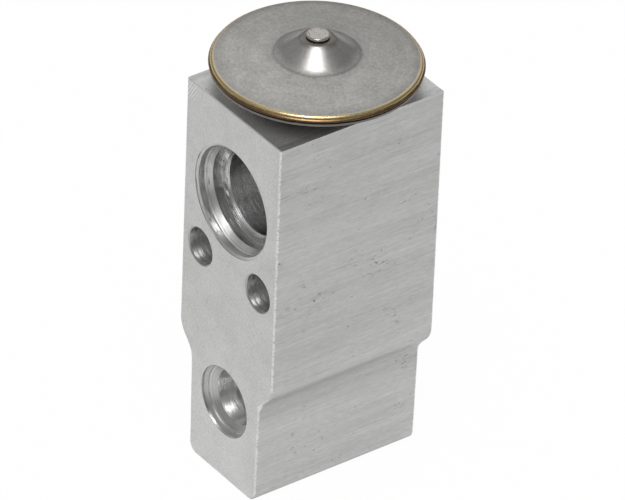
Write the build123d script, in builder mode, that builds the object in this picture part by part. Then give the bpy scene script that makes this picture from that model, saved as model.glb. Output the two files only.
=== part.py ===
from build123d import *
import os
from math import pi, radians, sqrt, tan

# Block-type expansion valve for a refrigerant circuit. Millimetres, +Z up, origin at the bottom
# centre of the block on the valve's own axis. The face with the liquid inlet looks along -Y.

# Aluminium block, an extrusion along Y that is narrower at its foot
block_height = 78.0
block_width = 28.0
block_depth = 35.3
foot_top_width = 20.7
foot_bottom_width = 20.0
foot_z = 21.4
shoulder_z = 25.4
shoulder_radius = 5.0
foot_radius = 4.7
bottom_corner_radius = 2.0
block_edge_break = 0.2

# Suction ports, the same on both faces, with the passage between them
suction_below_top = 18.5
suction_mouth_radius = 10.85
suction_collar_length = 0.15
suction_entry_radius = 10.38
suction_entry_chamfer = 0.25
suction_entry_length = 1.25
suction_seal_radius = 9.6
suction_cone_length = 1.3
suction_seal_length = 1.9
suction_lip_radius = 8.4
suction_lip_chamfer = 0.55
suction_passage_radius = 8.0

# Liquid inlet in the front face, drilled into the spring chamber
inlet_z = 16.35
inlet_mouth_radius = 6.95
inlet_collar_length = 0.5
inlet_entry_radius = 6.45
inlet_entry_chamfer = 0.5
inlet_entry_length = 0.35
inlet_seal_radius = 5.25
inlet_cone_length = 1.05
inlet_seal_length = 3.45
inlet_drill_radius = 3.2

# Outlet to the evaporator in the back face, drilled across the valve axis
outlet_z = 30.0
outlet_mouth_radius = 8.6
outlet_collar_length = 0.5
outlet_entry_radius = 8.1
outlet_entry_chamfer = 0.5
outlet_entry_length = 0.4
outlet_seal_radius = 6.9
outlet_cone_length = 1.2
outlet_seal_length = 3.4
outlet_drill_radius = 4.2
outlet_drill_past_axis = 2.4
drill_point_angle = 31.0

# Two clamp bolt holes through the block
bolt_below_suction = 14.5
bolt_spacing = 17.4
bolt_hole_radius = 3.55
bolt_hole_chamfer = 0.25

# Clearances shared by every fit
thread_clearance = 0.1
running_clearance = 0.05
seal_clearance = 0.03
seat_gap = 0.05
stop_gap = 0.35
overshoot = 1.0
pick_band = 0.05

# Valve travel and the thin rod that opens the ball
rod_travel = 0.8
push_rod_radius = 1.2
push_rod_pocket_depth = 1.6

# Orifice, ball and carrier
chamber_radius = 5.7
chamber_top_z = 23.6
orifice_radius = 1.9
seat_cone_height = 0.7
ball_radius = 2.9
ball_gap = 0.1
carrier_cup_radius = 3.6
carrier_cup_rise = 0.9
carrier_cup_floor_radius = 0.8
carrier_flange_radius = 4.9
carrier_flange_thickness = 1.1
carrier_flange_below_ball = 3.3
carrier_spigot_radius = 2.7
carrier_spigot_length = 1.9
carrier_chamfer = 0.3

# Damping spring: a thin ring with fingers that rub on the chamber wall
damper_thickness = 0.25
damper_finger_count = 6
damper_finger_rise = 2.1
damper_slot_width = 2.6
damper_bend_inset = 0.35

# Adjusting screw in the bottom bore
screw_radius = 6.1
screw_bottom_z = 4.3
screw_height = 6.4
screw_pitch = 1.0
screw_turns = 1.0
screw_socket_flats = 6.0
screw_socket_depth = 4.6
screw_chamfer = 0.5
screw_spigot_radius = 2.9
screw_spigot_length = 1.4
screw_groove_radius = 4.4
screw_groove_top_land = 0.55
screw_seal_section_radius = 0.8
screw_bore_chamfer = 0.6

# Valve spring between the screw and the carrier
spring_wire_radius = 0.55
spring_radius = 3.9
spring_turns = 4.0

# Power head: rim, cover, diaphragm, base and stop plate
head_radius = 19.1
rim_above_block = 4.9
rim_bead_half_height = 0.54
rim_bead_bulge = 0.8
cover_thickness = 0.8
cover_flange_width = 1.1
cover_edge_rise = 0.42
cover_edge_radius = 0.6
cover_crown_rise = 0.95
cover_cone_base_radius = 7.8
cone_flare_radius = 2.2
cone_top_radius = 2.9
cone_height = 3.35
cone_top_bend = 0.5
plug_radius = 2.15
plug_height = 0.7
plug_edge = 0.22
plug_stem_radius = 1.45
plug_stem_length = 1.6
diaphragm_thickness = 0.12
diaphragm_below_rim = 0.6
diaphragm_flat_radius = 11.0
diaphragm_wave_count = 3
diaphragm_wave_length = 1.3
diaphragm_wave_height = 0.24
base_flange_inset = 0.3
base_flange_edge_drop = 0.3
base_flange_width = 3.0
base_thickness = 0.7
base_wall_thickness = 1.0
base_bowl_radius = 12.8
neck_radius = 9.9
neck_wall = 1.7
neck_length = 9.0
neck_chamfer = 0.6
head_seal_section_radius = 0.8
stop_plate_radius = 10.6
stop_plate_thickness = 1.4
stop_plate_hub_radius = 5.2
stop_plate_hub_length = 2.4
stop_plate_chamfer = 0.3
rod_pocket_depth = 1.9

# Heat-sensing rod and the seal that closes the partition round it
sensing_rod_radius = 3.2
sensing_rod_chamfer = 0.4
stem_radius = 2.4
stem_shoulder_drop = 1.3
stem_below_gland = 2.0
gland_depth = 5.1
rod_seal_section_radius = 0.75
retainer_thickness = 0.3
retainer_dish = 0.35
retainer_inner_radius = 2.75
retainer_tooth_count = 8
retainer_slot_width = 0.7
retainer_slot_depth = 0.6
rod_well_radius = 6.5

# Places worked out from the sizes above
half_depth = block_depth / 2
front_y = -half_depth
back_y = half_depth
suction_z = block_height - suction_below_top
bolt_z = suction_z - bolt_below_suction
passage_floor_z = suction_z - suction_passage_radius
gland_floor_z = passage_floor_z - gland_depth
stem_shoulder_z = passage_floor_z - stem_shoulder_drop
stem_bottom_z = gland_floor_z - stem_below_gland
rim_z = block_height + rim_above_block
clamp_z = rim_z - diaphragm_below_rim
diaphragm_top_z = clamp_z + diaphragm_thickness
bead_inner_radius = head_radius - rim_bead_bulge
cover_flange_inner_radius = bead_inner_radius - cover_flange_width
base_flange_radius = head_radius - base_flange_inset
base_flange_inner_radius = base_flange_radius - base_flange_width
cover_flange_top_z = diaphragm_top_z + cover_thickness
cover_crown_z = cover_flange_top_z + cover_edge_rise + cover_crown_rise
cone_top_z = cover_crown_z + cone_height
stop_plate_top_z = clamp_z - seat_gap
stop_plate_bottom_z = stop_plate_top_z - stop_plate_thickness
hub_bottom_z = stop_plate_bottom_z - stop_plate_hub_length
base_floor_z = stop_plate_bottom_z - rod_travel - stop_gap
base_underside_z = base_floor_z - base_wall_thickness
neck_bottom_z = base_underside_z - neck_length
rod_top_z = hub_bottom_z + rod_pocket_depth
seat_contact = ball_radius / sqrt(2)
ball_z = chamber_top_z + seat_cone_height + orifice_radius - 2 * seat_contact - ball_gap
ball_top_z = ball_z + ball_radius
push_rod_top_z = stem_bottom_z + push_rod_pocket_depth
flange_top_z = ball_z - carrier_flange_below_ball
flange_bottom_z = flange_top_z - carrier_flange_thickness
spigot_bottom_z = flange_bottom_z - carrier_spigot_length
cup_top_z = ball_z - seat_contact + carrier_cup_rise
cup_rim_radius = seat_contact + carrier_cup_rise + seat_gap
screw_travel = screw_pitch * screw_turns
screw_top_z = screw_bottom_z + screw_height
screw_bore_radius = screw_radius + running_clearance
screw_bore_top_z = screw_top_z + screw_travel + stop_gap
screw_seal_radius = screw_groove_radius + running_clearance + screw_seal_section_radius
groove_height = 2 * (screw_seal_section_radius + seal_clearance)
groove_top_z = screw_top_z - screw_groove_top_land
groove_bottom_z = groove_top_z - groove_height
rod_seal_radius = stem_radius + seal_clearance + rod_seal_section_radius
gland_radius = rod_seal_radius + rod_seal_section_radius + seal_clearance
rod_seal_z = gland_floor_z + seal_clearance + rod_seal_section_radius
retainer_z = rod_seal_z + rod_seal_section_radius + seal_clearance
head_seal_radius = neck_radius + seal_clearance + head_seal_section_radius
head_seal_z = base_underside_z - seal_clearance - head_seal_section_radius
neck_bore_radius = neck_radius + thread_clearance
neck_bore_bottom_z = neck_bottom_z - stop_gap
seal_reach = (head_seal_section_radius + seal_clearance) * sqrt(2)
neck_chamfer_radius = head_seal_radius + block_height - head_seal_z + seal_reach

os.makedirs("parts", exist_ok=True)


def write(part, name):
    """Label a finished piece and write it as its own file."""
    part.label = name
    export_step(part, f"parts/{name}.step")


def port_points(face_y, inward, rings):
    """Half outline of a stepped port. A ring is its radius at the start, at the end, and its length."""
    depth = 0
    points = [(0, face_y - inward * overshoot), (rings[0][0], face_y - inward * overshoot)]
    for start_radius, end_radius, length in rings:
        corner = (start_radius, face_y + inward * depth)
        if corner != points[-1]:
            points.append(corner)
        depth = depth + length
        points.append((end_radius, face_y + inward * depth))
    if points[-1][0] > 0:
        points.append((0, face_y + inward * depth))
    return points


suction_rings = [
    (suction_mouth_radius, suction_mouth_radius, suction_collar_length),
    (suction_mouth_radius, suction_entry_radius, suction_entry_chamfer),
    (suction_entry_radius, suction_entry_radius, suction_entry_length),
    (suction_entry_radius, suction_seal_radius, suction_cone_length),
    (suction_seal_radius, suction_seal_radius, suction_seal_length),
    (suction_lip_radius, suction_passage_radius, suction_lip_chamfer),
    (suction_passage_radius, suction_passage_radius, half_depth / 2),
]
inlet_rings = [
    (inlet_mouth_radius, inlet_mouth_radius, inlet_collar_length),
    (inlet_mouth_radius, inlet_entry_radius, inlet_entry_chamfer),
    (inlet_entry_radius, inlet_entry_radius, inlet_entry_length),
    (inlet_entry_radius, inlet_seal_radius, inlet_cone_length),
    (inlet_seal_radius, inlet_seal_radius, inlet_seal_length),
]
inlet_seat_depth = sum(length for start_radius, end_radius, length in inlet_rings)
inlet_drill_length = half_depth - inlet_seat_depth - chamber_radius / 2
inlet_rings.append((inlet_drill_radius, inlet_drill_radius, inlet_drill_length))
outlet_rings = [
    (outlet_mouth_radius, outlet_mouth_radius, outlet_collar_length),
    (outlet_mouth_radius, outlet_entry_radius, outlet_entry_chamfer),
    (outlet_entry_radius, outlet_entry_radius, outlet_entry_length),
    (outlet_entry_radius, outlet_seal_radius, outlet_cone_length),
    (outlet_seal_radius, outlet_seal_radius, outlet_seal_length),
]
outlet_seat_depth = sum(length for start_radius, end_radius, length in outlet_rings)
outlet_drill_length = half_depth - outlet_seat_depth + outlet_drill_past_axis
drill_point_length = outlet_drill_radius * tan(radians(drill_point_angle))
outlet_rings.append((outlet_drill_radius, outlet_drill_radius, outlet_drill_length))
outlet_rings.append((outlet_drill_radius, 0, drill_point_length))

# The block: one extruded section, then every bore that is machined into it
block_side = [
    (foot_bottom_width / 2, 0),
    (foot_top_width / 2, foot_z),
    (block_width / 2, shoulder_z),
    (block_width / 2, block_height),
]
block_outline = block_side + [(-x, z) for x, z in reversed(block_side)]

with BuildPart() as valve_body:
    with BuildSketch(Plane.XZ) as section:
        with BuildLine():
            Polyline(*block_outline, close=True)
        make_face()
        for corner_z, corner_radius in [
            (shoulder_z, shoulder_radius),
            (foot_z, foot_radius),
            (0, bottom_corner_radius),
        ]:
            corners = section.vertices()
            corners = corners.filter_by_position(Axis.Y, corner_z - pick_band, corner_z + pick_band)
            fillet(corners, corner_radius)
    extrude(amount=half_depth, both=True)
    chamfer(valve_body.faces().sort_by(Axis.Y)[0].edges(), block_edge_break)
    chamfer(valve_body.faces().sort_by(Axis.Y)[-1].edges(), block_edge_break)

    # Ports along Y, each one turned outline
    ports = [
        (suction_z, front_y, 1, suction_rings),
        (suction_z, back_y, -1, suction_rings),
        (inlet_z, front_y, 1, inlet_rings),
        (outlet_z, back_y, -1, outlet_rings),
    ]
    for port_z, face_y, inward, rings in ports:
        with BuildSketch(Plane.XY.offset(port_z)):
            with BuildLine():
                Polyline(*port_points(face_y, inward, rings), close=True)
            make_face()
        revolve(axis=Axis((0, 0, port_z), (0, 1, 0)), mode=Mode.SUBTRACT)
    with BuildSketch(Plane.XZ):
        with Locations((0, suction_z)):
            Circle(suction_passage_radius)
    extrude(amount=half_depth / 2, both=True, mode=Mode.SUBTRACT)

    # Bolt holes, broken at both mouths
    with BuildSketch(Plane.XZ):
        with Locations((0, bolt_z)):
            with GridLocations(bolt_spacing, 0, 2, 1):
                Circle(bolt_hole_radius)
    extrude(amount=half_depth, both=True, mode=Mode.SUBTRACT)
    bolt_mouths = valve_body.edges().filter_by(GeomType.CIRCLE)
    bolt_mouths = bolt_mouths.filter_by(lambda edge: abs(edge.radius - bolt_hole_radius) < pick_band)
    chamfer(bolt_mouths, bolt_hole_chamfer)

    # Bores on the valve axis, from the head thread down to the adjusting screw
    with BuildSketch(Plane.XZ):
        with BuildLine():
            Polyline(
                (0, block_height + overshoot),
                (neck_chamfer_radius + overshoot, block_height + overshoot),
                (neck_bore_radius, block_height - neck_chamfer_radius + neck_bore_radius),
                (neck_bore_radius, neck_bore_bottom_z),
                (rod_well_radius, neck_bore_bottom_z),
                (rod_well_radius, suction_z),
                (gland_radius, suction_z),
                (gland_radius, gland_floor_z),
                (stem_radius + running_clearance, gland_floor_z),
                (stem_radius + running_clearance, stem_bottom_z - rod_travel - stop_gap),
                (push_rod_radius + running_clearance, stem_bottom_z - rod_travel - stop_gap),
                (push_rod_radius + running_clearance, outlet_z),
                (orifice_radius, outlet_z),
                (orifice_radius, chamber_top_z + seat_cone_height),
                (orifice_radius + seat_cone_height, chamber_top_z),
                (chamber_radius, chamber_top_z),
                (chamber_radius, screw_bore_top_z),
                (screw_bore_radius, screw_bore_top_z),
                (screw_bore_radius, screw_bore_chamfer),
                (screw_bore_radius + screw_bore_chamfer + overshoot, -overshoot),
                (0, -overshoot),
                close=True,
            )
        make_face()
    revolve(axis=Axis.Z, mode=Mode.SUBTRACT)
write(valve_body.part, "valve_body")

# Power head cover: pressed sheet with a rolled edge, a slight crown and a raised cone
with BuildPart() as head_cover:
    with BuildSketch(Plane.XZ):
        with BuildLine():
            with BuildLine() as top_line:
                FilletPolyline(
                    (bead_inner_radius, cover_flange_top_z),
                    (cover_flange_inner_radius, cover_flange_top_z + cover_edge_rise),
                    (cover_cone_base_radius, cover_crown_z),
                    (cone_top_radius, cone_top_z),
                    (plug_stem_radius + running_clearance, cone_top_z),
                    radius=[cover_edge_radius, cone_flare_radius, cone_top_bend],
                )
            offset(top_line.line, amount=cover_thickness, side=Side.LEFT, closed=True)
        make_face()
    revolve(axis=Axis.Z)
write(head_cover.part, "head_cover")

# Plug that closes the cone after filling: a rounded button on a stem
with BuildPart() as filler_plug:
    with BuildSketch(Plane.XZ):
        with BuildLine():
            Polyline(
                (0, cone_top_z - plug_stem_length),
                (plug_stem_radius, cone_top_z - plug_stem_length),
                (plug_stem_radius, cone_top_z),
                (plug_radius, cone_top_z),
                (plug_radius, cone_top_z + plug_height),
                (0, cone_top_z + plug_height),
                close=True,
            )
        make_face()
    revolve(axis=Axis.Z)
    fillet(filler_plug.edges().filter_by(GeomType.CIRCLE).sort_by(Axis.Z)[-1], plug_edge)
write(filler_plug.part, "filler_plug")

# Weld bead round the edge of the cover and the diaphragm
with BuildPart() as rim_weld:
    with BuildSketch(Plane.XZ):
        with BuildLine():
            Line(
                (bead_inner_radius, rim_z + rim_bead_half_height),
                (bead_inner_radius, rim_z - rim_bead_half_height),
            )
            ThreePointArc(
                (bead_inner_radius, rim_z - rim_bead_half_height),
                (head_radius, rim_z),
                (bead_inner_radius, rim_z + rim_bead_half_height),
            )
        make_face()
    revolve(axis=Axis.Z)
write(rim_weld.part, "rim_weld")

# Diaphragm: thin disc, flat over the stop plate, waved outside it and flat again in the clamp
with BuildPart() as diaphragm:
    with BuildSketch(Plane.XZ):
        with BuildLine():
            with BuildLine() as sheet_line:
                Line((0, clamp_z), (diaphragm_flat_radius, clamp_z))
                for wave in range(diaphragm_wave_count):
                    start_radius = diaphragm_flat_radius + wave * diaphragm_wave_length
                    rise = diaphragm_wave_height if wave % 2 == 0 else -diaphragm_wave_height
                    end_radius = start_radius + diaphragm_wave_length
                    SagittaArc((start_radius, clamp_z), (end_radius, clamp_z), rise)
                Line((end_radius, clamp_z), (bead_inner_radius, clamp_z))
            offset(sheet_line.line, amount=diaphragm_thickness, side=Side.LEFT, closed=True)
        make_face()
    revolve(axis=Axis.Z)
write(diaphragm.part, "diaphragm")

# Head base: flange, bowl and threaded neck
with BuildPart() as head_base:
    with BuildSketch(Plane.XZ):
        with BuildLine():
            Polyline(
                (base_flange_inner_radius, clamp_z),
                (bead_inner_radius, clamp_z),
                (base_flange_radius, clamp_z - base_flange_edge_drop),
                (base_flange_radius, clamp_z - base_thickness),
                (base_flange_inner_radius + base_thickness / 2, clamp_z - base_thickness),
                (base_bowl_radius + base_wall_thickness, base_underside_z + base_thickness),
                (base_bowl_radius, base_underside_z),
                (neck_radius, base_underside_z),
                (neck_radius, neck_bottom_z + neck_chamfer),
                (neck_radius - neck_chamfer, neck_bottom_z),
                (neck_radius - neck_wall, neck_bottom_z),
                (neck_radius - neck_wall, base_floor_z),
                (base_bowl_radius, base_floor_z),
                close=True,
            )
        make_face()
    revolve(axis=Axis.Z)
write(head_base.part, "head_base")

# Seal ring between the head and the block
with BuildPart() as head_seal:
    with BuildSketch(Plane.XZ):
        with Locations((head_seal_radius, head_seal_z)):
            Circle(head_seal_section_radius)
    revolve(axis=Axis.Z)
write(head_seal.part, "head_seal")

# Stop plate under the diaphragm, with a hub that holds the rod
with BuildPart() as stop_plate:
    with BuildSketch(Plane.XZ):
        with BuildLine():
            Polyline(
                (0, stop_plate_top_z),
                (stop_plate_radius, stop_plate_top_z),
                (stop_plate_radius, stop_plate_bottom_z),
                (stop_plate_hub_radius, stop_plate_bottom_z),
                (stop_plate_hub_radius, hub_bottom_z),
                (sensing_rod_radius + running_clearance, hub_bottom_z),
                (sensing_rod_radius + running_clearance, rod_top_z),
                (0, rod_top_z),
                close=True,
            )
        make_face()
    revolve(axis=Axis.Z)
    plate_edges = stop_plate.edges().filter_by(GeomType.CIRCLE)
    chamfer(plate_edges.group_by(SortBy.RADIUS)[-1], stop_plate_chamfer)
write(stop_plate.part, "stop_plate")

# Heat-sensing rod: stout in the suction gas, with a thinner stem through the seal
with BuildPart() as sensing_rod:
    with BuildSketch(Plane.XZ):
        with BuildLine():
            Polyline(
                (0, rod_top_z),
                (sensing_rod_radius, rod_top_z),
                (sensing_rod_radius, stem_shoulder_z + sensing_rod_chamfer),
                (sensing_rod_radius - sensing_rod_chamfer, stem_shoulder_z),
                (stem_radius, stem_shoulder_z),
                (stem_radius, stem_bottom_z),
                (push_rod_radius + running_clearance, stem_bottom_z),
                (push_rod_radius + running_clearance, push_rod_top_z),
                (0, push_rod_top_z),
                close=True,
            )
        make_face()
    revolve(axis=Axis.Z)
write(sensing_rod.part, "sensing_rod")

# Seal ring round the stem
with BuildPart() as rod_seal:
    with BuildSketch(Plane.XZ):
        with Locations((rod_seal_radius, rod_seal_z)):
            Circle(rod_seal_section_radius)
    revolve(axis=Axis.Z)
write(rod_seal.part, "rod_seal")

# Push-on retainer: a dished washer with teeth that grip the gland wall
with BuildPart() as seal_retainer:
    with BuildSketch(Plane.XZ):
        with BuildLine():
            Polyline(
                (retainer_inner_radius, retainer_z + retainer_dish),
                (gland_radius - seal_clearance, retainer_z),
                (gland_radius - seal_clearance, retainer_z + retainer_thickness),
                (retainer_inner_radius, retainer_z + retainer_dish + retainer_thickness),
                close=True,
            )
        make_face()
    revolve(axis=Axis.Z)
    with BuildSketch(Plane.XY.offset(retainer_z)):
        with PolarLocations(gland_radius, retainer_tooth_count):
            Rectangle(2 * retainer_slot_depth, retainer_slot_width)
    extrude(amount=retainer_dish + retainer_thickness, mode=Mode.SUBTRACT)
write(seal_retainer.part, "seal_retainer")

# Thin rod from the stem to the ball
with BuildPart() as push_rod:
    with BuildSketch(Plane.XY.offset(ball_top_z)):
        Circle(push_rod_radius)
    extrude(amount=push_rod_top_z - ball_top_z)
write(push_rod.part, "push_rod")

# Ball that closes the orifice from below
with BuildPart() as valve_ball:
    with BuildSketch(Plane.XZ):
        with BuildLine():
            Line((0, ball_z - ball_radius), (0, ball_z + ball_radius))
            ThreePointArc((0, ball_z + ball_radius), (ball_radius, ball_z), (0, ball_z - ball_radius))
        make_face()
    revolve(axis=Axis.Z)
write(valve_ball.part, "valve_ball")

# Ball carrier: coned cup above, spring flange and spigot below
cup_floor_z = cup_top_z - cup_rim_radius + carrier_cup_floor_radius
with BuildPart() as ball_carrier:
    with BuildSketch(Plane.XZ):
        with BuildLine():
            Polyline(
                (0, spigot_bottom_z),
                (carrier_spigot_radius - carrier_chamfer, spigot_bottom_z),
                (carrier_spigot_radius, spigot_bottom_z + carrier_chamfer),
                (carrier_spigot_radius, flange_bottom_z),
                (carrier_flange_radius, flange_bottom_z),
                (carrier_flange_radius, flange_top_z),
                (carrier_cup_radius, flange_top_z),
                (carrier_cup_radius, cup_top_z),
                (cup_rim_radius, cup_top_z),
                (carrier_cup_floor_radius, cup_floor_z),
                (0, cup_floor_z),
                close=True,
            )
        make_face()
    revolve(axis=Axis.Z)
write(ball_carrier.part, "ball_carrier")

# Damping spring: thin ring on the carrier, its bent skirt cut into fingers
finger_foot_radius = carrier_flange_radius - damper_bend_inset
finger_tip_radius = chamber_radius - running_clearance
with BuildPart() as damping_spring:
    with BuildSketch(Plane.XZ):
        with BuildLine():
            with BuildLine() as strip_line:
                Polyline(
                    (carrier_cup_radius + running_clearance, flange_top_z),
                    (finger_foot_radius, flange_top_z),
                    (finger_tip_radius, flange_top_z + damper_finger_rise),
                )
            offset(strip_line.line, amount=damper_thickness, side=Side.LEFT, closed=True)
        make_face()
    revolve(axis=Axis.Z)
    with BuildSketch(Plane.XY.offset(flange_top_z + damper_thickness)):
        with PolarLocations(chamber_radius, damper_finger_count):
            Rectangle(2 * (chamber_radius - finger_foot_radius), damper_slot_width)
    extrude(amount=damper_finger_rise + damper_thickness, mode=Mode.SUBTRACT)
write(damping_spring.part, "damping_spring")

# Coil spring with ends ground flat
spring_height = flange_bottom_z - screw_top_z
spring_pitch = spring_height / spring_turns
with BuildPart() as valve_spring:
    with BuildLine() as coil:
        Helix(spring_pitch, spring_height, spring_radius, center=(0, 0, screw_top_z))
    with BuildSketch(coil.line ^ 0):
        Circle(spring_wire_radius)
    sweep(path=coil.line, is_frenet=True)
    split(bisect_by=Plane.XY.offset(screw_top_z), keep=Keep.TOP)
    split(bisect_by=Plane.XY.offset(flange_bottom_z), keep=Keep.BOTTOM)
write(valve_spring.part, "valve_spring")

# Adjusting screw: seal groove, spring spigot and a hexagon socket
socket_circle_radius = screw_socket_flats / sqrt(3)
with BuildPart() as adjusting_screw:
    with BuildSketch(Plane.XZ):
        with BuildLine():
            Polyline(
                (0, screw_bottom_z),
                (screw_radius - screw_chamfer, screw_bottom_z),
                (screw_radius, screw_bottom_z + screw_chamfer),
                (screw_radius, groove_bottom_z),
                (screw_groove_radius, groove_bottom_z),
                (screw_groove_radius, groove_top_z),
                (screw_radius, groove_top_z),
                (screw_radius, screw_top_z),
                (screw_spigot_radius, screw_top_z),
                (screw_spigot_radius, screw_top_z + screw_spigot_length),
                (0, screw_top_z + screw_spigot_length),
                close=True,
            )
        make_face()
    revolve(axis=Axis.Z)
    with BuildSketch(Plane.XY.offset(screw_bottom_z)):
        RegularPolygon(radius=socket_circle_radius, side_count=6)
    extrude(amount=screw_socket_depth, mode=Mode.SUBTRACT)
write(adjusting_screw.part, "adjusting_screw")

# Seal ring in the screw's groove
with BuildPart() as screw_seal:
    with BuildSketch(Plane.XZ):
        with Locations((screw_seal_radius, (groove_bottom_z + groove_top_z) / 2)):
            Circle(screw_seal_section_radius)
    revolve(axis=Axis.Z)
write(screw_seal.part, "screw_seal")

print("overall height", round(cone_top_z + plug_height, 2))
print("screw ratio in metres for each radian", round(screw_pitch / (2 * pi) / 1000, 9))
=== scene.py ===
# %% [markdown]
# This lesson dresses a block-type expansion valve from a refrigerant circuit.
# The CAD model is the fixed frame: an aluminium block with four pipe ports and a round power head.
# Blender adds what a photograph shows and a CAD model does not: tool marks, a weld bead with its
# heat colours, a pressed cover with faint dents, and light that lets metal look like metal. It
# also makes the valve spring in two halves.

# %% Load the fixed frame
import math
import bpy
import numpy as np
from mathutils import Matrix, Vector


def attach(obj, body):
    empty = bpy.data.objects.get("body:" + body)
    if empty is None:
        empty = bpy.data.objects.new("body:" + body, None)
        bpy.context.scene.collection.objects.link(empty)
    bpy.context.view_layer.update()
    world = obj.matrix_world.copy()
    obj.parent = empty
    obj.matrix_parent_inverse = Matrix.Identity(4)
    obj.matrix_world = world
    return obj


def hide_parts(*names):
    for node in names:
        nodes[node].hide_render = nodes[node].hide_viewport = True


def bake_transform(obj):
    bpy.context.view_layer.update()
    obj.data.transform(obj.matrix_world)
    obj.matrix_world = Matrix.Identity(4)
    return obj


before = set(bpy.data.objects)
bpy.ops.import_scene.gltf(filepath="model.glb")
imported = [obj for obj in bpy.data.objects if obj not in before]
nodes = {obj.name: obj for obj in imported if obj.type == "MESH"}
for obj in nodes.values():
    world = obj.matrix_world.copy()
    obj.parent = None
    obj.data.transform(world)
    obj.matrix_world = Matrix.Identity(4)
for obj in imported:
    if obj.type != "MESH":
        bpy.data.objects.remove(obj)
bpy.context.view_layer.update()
MM = 0.001
print("nodes in the frame:", len(nodes))

# %% [markdown]
# A finish is a small net of shader nodes. Nets are long when every node takes four lines, so
# helpers come first. One adds a node and fills or links its sockets in a single call. Another
# starts a material and hands back the point being coloured, measured in millimetres, which keep
# the sizes of scratches and tool marks readable. The rest let a net read like plain arithmetic.

# %% Helpers for shader nodes
def add_node(tree, kind, inputs=None, **settings):
    """Add one shader node. settings are its choices; inputs are sockets by name or number.

    A socket given as an input is linked, and any other value is written into the socket."""
    made = tree.nodes.new("ShaderNode" + kind)
    for key, value in settings.items():
        setattr(made, key, value)
    for key, value in (inputs or {}).items():
        if isinstance(value, bpy.types.NodeSocket):
            tree.links.new(value, made.inputs[key])
        else:
            made.inputs[key].default_value = value
    return made


def start_finish(name, metallic=1.0):
    """Start a material; give it, its tree, its shader, the point in mm and that point's x, y, z."""
    material = bpy.data.materials.new(name)
    material.use_nodes = True
    tree = material.node_tree
    shader = tree.nodes["Principled BSDF"]
    shader.inputs["Metallic"].default_value = metallic
    place = add_node(tree, "TexCoord").outputs["Object"]
    point = vector_calc(tree, "SCALE", place, 1 / MM)
    x, y, z = add_node(tree, "SeparateXYZ", {0: point}).outputs
    return material, tree, shader, point, (x, y, z)


def calc(tree, what, *values):
    """A sum, product or other operation. More than two values are taken from left to right."""
    result = values[0]
    for value in values[1:] or (0.0,):
        result = add_node(tree, "Math", {0: result, 1: value}, operation=what).outputs[0]
    return result


def inverse(tree, share):
    """What is left of a share: 1 - share."""
    return calc(tree, "SUBTRACT", 1.0, share)


def axis_distance(tree, x, y):
    """Distance from the valve's axis: the square root of x^2 + y^2."""
    squares = calc(tree, "ADD", calc(tree, "MULTIPLY", x, x), calc(tree, "MULTIPLY", y, y))
    return calc(tree, "SQRT", squares)


def vector(tree, x=0.0, y=0.0, z=0.0):
    """Join three numbers into a vector."""
    return add_node(tree, "CombineXYZ", {0: x, 1: y, 2: z}).outputs[0]


def vector_calc(tree, what, first, second=None):
    """One operation on vectors. SCALE takes a number second, and NORMALIZE takes nothing."""
    inputs = {0: first}
    if second is not None:
        inputs["Scale" if what == "SCALE" else 1] = second
    return add_node(tree, "VectorMath", inputs, operation=what).outputs[0]


def fade(tree, value, start, end, low=0.0, high=1.0):
    """Go from low to high as value goes from start to end, and stay level outside."""
    inputs = {"Value": value, "From Min": start, "From Max": end, "To Min": low, "To Max": high}
    return add_node(tree, "MapRange", inputs).outputs["Result"]


def spread(tree, noise, low=0.0, high=1.0):
    """Stretch a noise over low to high. Nearly all of a noise lies from 0.3 to 0.7."""
    return fade(tree, noise, 0.3, 0.7, low, high)


def speckle(tree, point, size, stretch=(1, 1, 1), detail=3.0, rough=0.55):
    """Noise from 0 to 1 whose blobs are about size mm across, drawn out by stretch."""
    scale = tuple(1 / (size * s) for s in stretch)
    inputs = {"Vector": vector_calc(tree, "MULTIPLY", point, scale), "Scale": 1.0,
              "Detail": detail, "Roughness": rough}
    return add_node(tree, "TexNoise", inputs).outputs["Fac"]


def mix_colours(tree, share, first, second):
    """The first colour where share is 0 and the second where it is 1."""
    made = add_node(tree, "Mix", {"Factor": share}, data_type="RGBA")
    for socket, value in ((made.inputs[6], first), (made.inputs[7], second)):
        if isinstance(value, bpy.types.NodeSocket):
            tree.links.new(value, socket)
        else:
            socket.default_value = (*value, 1.0)
    return made.outputs[2]


def mix_numbers(tree, share, first, second):
    """The first number where share is 0 and the second where it is 1."""
    made = add_node(tree, "Mix", {"Factor": share, 2: first, 3: second}, data_type="FLOAT")
    return made.outputs[0]


def curve(tree, value, stops):
    """Read a broken line of (value, height) stops, for values from 0 to that of the last stop."""
    reach = stops[-1][0]
    ramp = add_node(tree, "ValToRGB", {0: calc(tree, "DIVIDE", value, reach)})
    points = ramp.color_ramp.elements
    for number, (place, height) in enumerate(stops):
        stop = points[number] if number < 2 else points.new(place / reach)
        stop.position = place / reach
        stop.color = (height, height, height, 1.0)
    return ramp.outputs["Color"]


def bump(tree, height, depth, normal=None):
    """Turn a height from 0 to 1 into slopes, depth mm from low to high, over an earlier bump."""
    inputs = {"Height": height, "Strength": 1.0, "Distance": depth * MM}
    if normal is not None:
        inputs["Normal"] = normal
    return add_node(tree, "Bump", inputs).outputs["Normal"]


def connect(tree, shader, colour, rough, normal):
    """Link the three results of a finish to its shader."""
    for name, result in (("Base Color", colour), ("Roughness", rough), ("Normal", normal)):
        tree.links.new(result, shader.inputs[name])


def wear(node_name, material):
    """Give a CAD node its finish."""
    mesh = nodes[node_name].data
    mesh.materials.clear()
    mesh.materials.append(material)


print("shader helpers ready")

# %% [markdown]
# The block is a length of extruded aluminium bar, sawn to depth and bored. Each surface keeps the
# marks of how it was made: the sides have faint streaks along the bar, the port faces a fine even
# grain, and the bores have rings left by the turning tool. One material tells these surfaces apart
# by where the point lies, and blends brightness, roughness and relief between them.

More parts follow.
